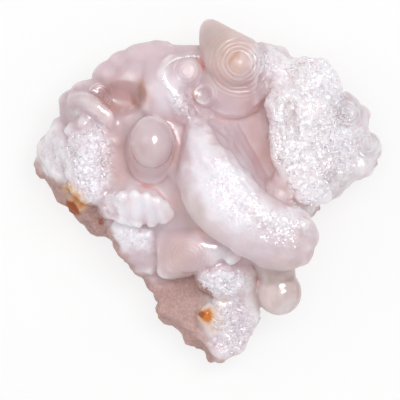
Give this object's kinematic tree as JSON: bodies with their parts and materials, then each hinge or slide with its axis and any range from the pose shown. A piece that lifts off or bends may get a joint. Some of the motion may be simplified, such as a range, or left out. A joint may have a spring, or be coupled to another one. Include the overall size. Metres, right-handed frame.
{
  "type": "pink chalcedony specimen",
  "caption": "Botryoidal pink chalcedony grown as one piece: a glassy ball, a thick white arm, a banded shell and sugary masses on a broken back, cut flat to rest grown face up.",
  "frame": {"origin": "centre of the bounding box on the flat cut of the back, where the specimen rests", "axes": "+Z out of the grown face, +X to its right, +Y towards its banded shell at the top"},
  "size_m": [0.0881, 0.0868, 0.0405],
  "materials": {
    "pink_chalcedony": "milky translucent stone, glossy on the balls and folds, sugary on the white masses, salmon pink in the clefts, brown with rust spots on the broken back"
  },
  "bodies": {
    "root": {"pink_chalcedony": "pink_chalcedony"}
  },
  "joints": []
}
